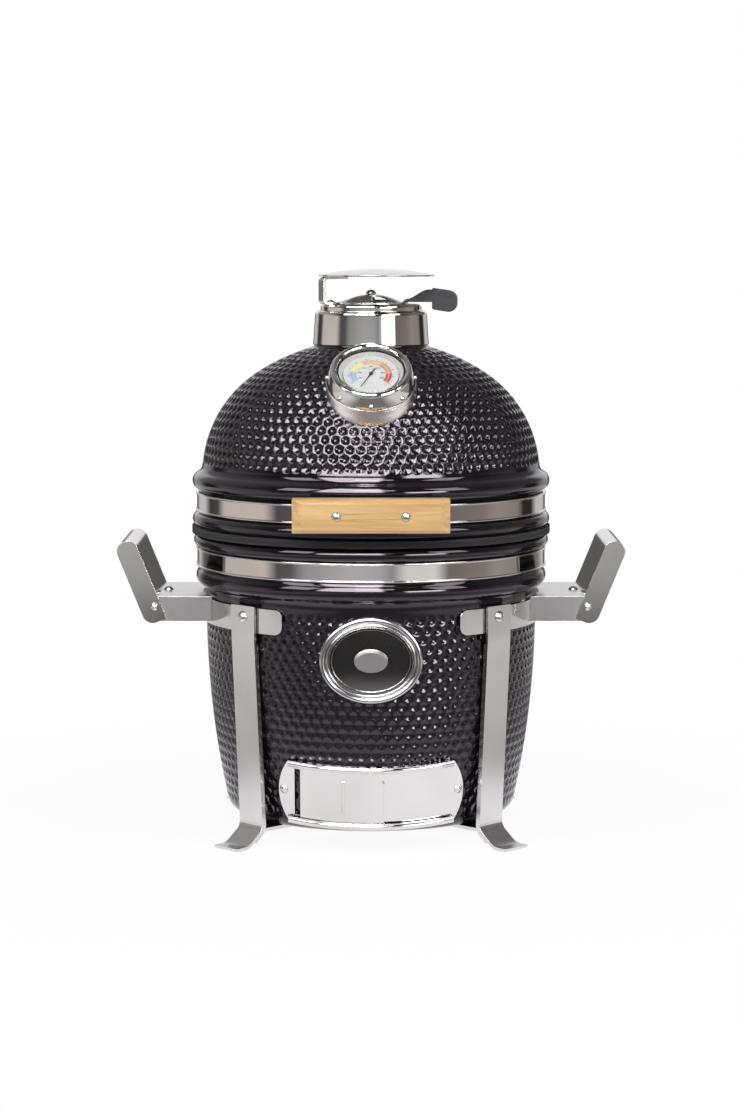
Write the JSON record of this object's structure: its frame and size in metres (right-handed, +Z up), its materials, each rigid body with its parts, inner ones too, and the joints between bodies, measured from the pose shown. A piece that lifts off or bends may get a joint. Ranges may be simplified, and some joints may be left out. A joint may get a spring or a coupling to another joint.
{
  "type": "portable kamado grill",
  "caption": "Portable kamado grill: egg-shaped glazed ceramic body with a hinged lid, draft door, feed port, top damper, dial thermometer and carrying handles.",
  "frame": {"origin": "on the floor, under the body's axis, at the centre of the bounding box's underside", "axes": "+Z up, -Y out of the front with the draft vent and the wooden handle, +X to the right seen from the front"},
  "size_m": [0.4532, 0.3847, 0.5069],
  "materials": {
    "glaze": "gloss, dimpled",
    "fire_clay": "matt fired clay",
    "polished_steel": "polished stainless",
    "brushed_steel": "brushed stainless",
    "fasteners": "bright steel",
    "grid_steel": "stainless rod",
    "grate_iron": "cast",
    "felt": "felt",
    "bamboo": "oiled bamboo",
    "black_plastic": "moulded",
    "dial_face": "printed",
    "dial_glass": "clear"
  },
  "bodies": {
    "base": {"base_shell": "glaze", "fire_box": "fire_clay", "fire_ring": "fire_clay", "base_band": "polished_steel", "draft_frame": "polished_steel", "port_frame": "polished_steel", "handle_grip_left": "polished_steel", "handle_grip_right": "polished_steel", "stand_hoop_left": "brushed_steel", "stand_hoop_right": "brushed_steel", "leg_front_right": "brushed_steel", "leg_front_left": "brushed_steel", "leg_rear_right": "brushed_steel", "leg_rear_left": "brushed_steel", "bottom_cross": "brushed_steel", "handle_arm_left": "brushed_steel", "handle_arm_right": "brushed_steel", "hinge_lower": "brushed_steel", "base_band_bolt": "fasteners", "draft_screws": "fasteners", "leg_bolts": "fasteners", "handle_rivets": "fasteners", "grip_bolts": "fasteners", "hinge_pin": "fasteners", "base_gasket": "felt"},
    "lid": {"lid_dome": "glaze", "lid_band": "polished_steel", "lid_band_bolt": "fasteners", "lid_gasket": "felt", "hinge_upper": "brushed_steel", "lid_handle": "bamboo", "handle_bosses": "brushed_steel", "handle_screws": "fasteners", "chimney_collar": "polished_steel", "vent_plate": "brushed_steel", "damper_bolt": "fasteners", "cap_rivet": "fasteners", "thermometer_bezel": "polished_steel", "thermometer_dial": "dial_face", "thermometer_glass": "dial_glass", "thermometer_stem": "brushed_steel", "thermometer_nut": "brushed_steel"},
    "damper": {"damper_dome": "brushed_steel", "damper_lever": "black_plastic", "damper_grip": "black_plastic"},
    "rain_cap": {"cap_strap": "brushed_steel", "rain_cap": "polished_steel"},
    "needle": {"thermometer_needle": "black_plastic"},
    "draft_door": {"draft_door": "polished_steel"},
    "port_cover": {"port_cover": "polished_steel", "port_knob": "brushed_steel"},
    "cooking_grid": {"cooking_grid": "grid_steel"},
    "charcoal_grate": {"charcoal_grate": "grate_iron"}
  },
  "joints": [
    {"name": "lid_hinge", "type": "hinge", "parent": "base", "child": "lid", "pos_m": [0, 0.18235, 0.273], "axis": [-1, 0, 0], "range_deg": [0, 80]},
    {"name": "damper_turn", "type": "hinge", "parent": "lid", "child": "damper", "pos_m": [0, 0, 0.477], "axis": [0, 0, 1], "range_deg": [0, 60]},
    {"name": "rain_cap_swing", "type": "hinge", "parent": "lid", "child": "rain_cap", "pos_m": [-0.03631, -0.01617, 0.476], "axis": [0, 0, 1], "range_deg": [-90, 90]},
    {"name": "needle_turn", "type": "hinge", "parent": "lid", "child": "needle", "pos_m": [0, -0.11943, 0.41771], "axis": [0, 0.6225, -0.7826], "range_deg": [0, 270]},
    {"name": "draft_slide", "type": "hinge", "parent": "base", "child": "draft_door", "pos_m": [0, 0, 0.07447], "axis": [0, -0.1841, 0.9829], "range_deg": [-1.6, 24]},
    {"name": "port_pull", "type": "slide", "parent": "base", "child": "port_cover", "axis": [0, -1, 0], "range_m": [0, 0.04]},
    {"name": "grid_lift", "type": "slide", "parent": "base", "child": "cooking_grid", "axis": [0, 0, 1], "range_m": [0, 0.012]},
    {"name": "grate_lift", "type": "slide", "parent": "base", "child": "charcoal_grate", "axis": [0, 0, 1], "range_m": [0, 0.06]}
  ]
}
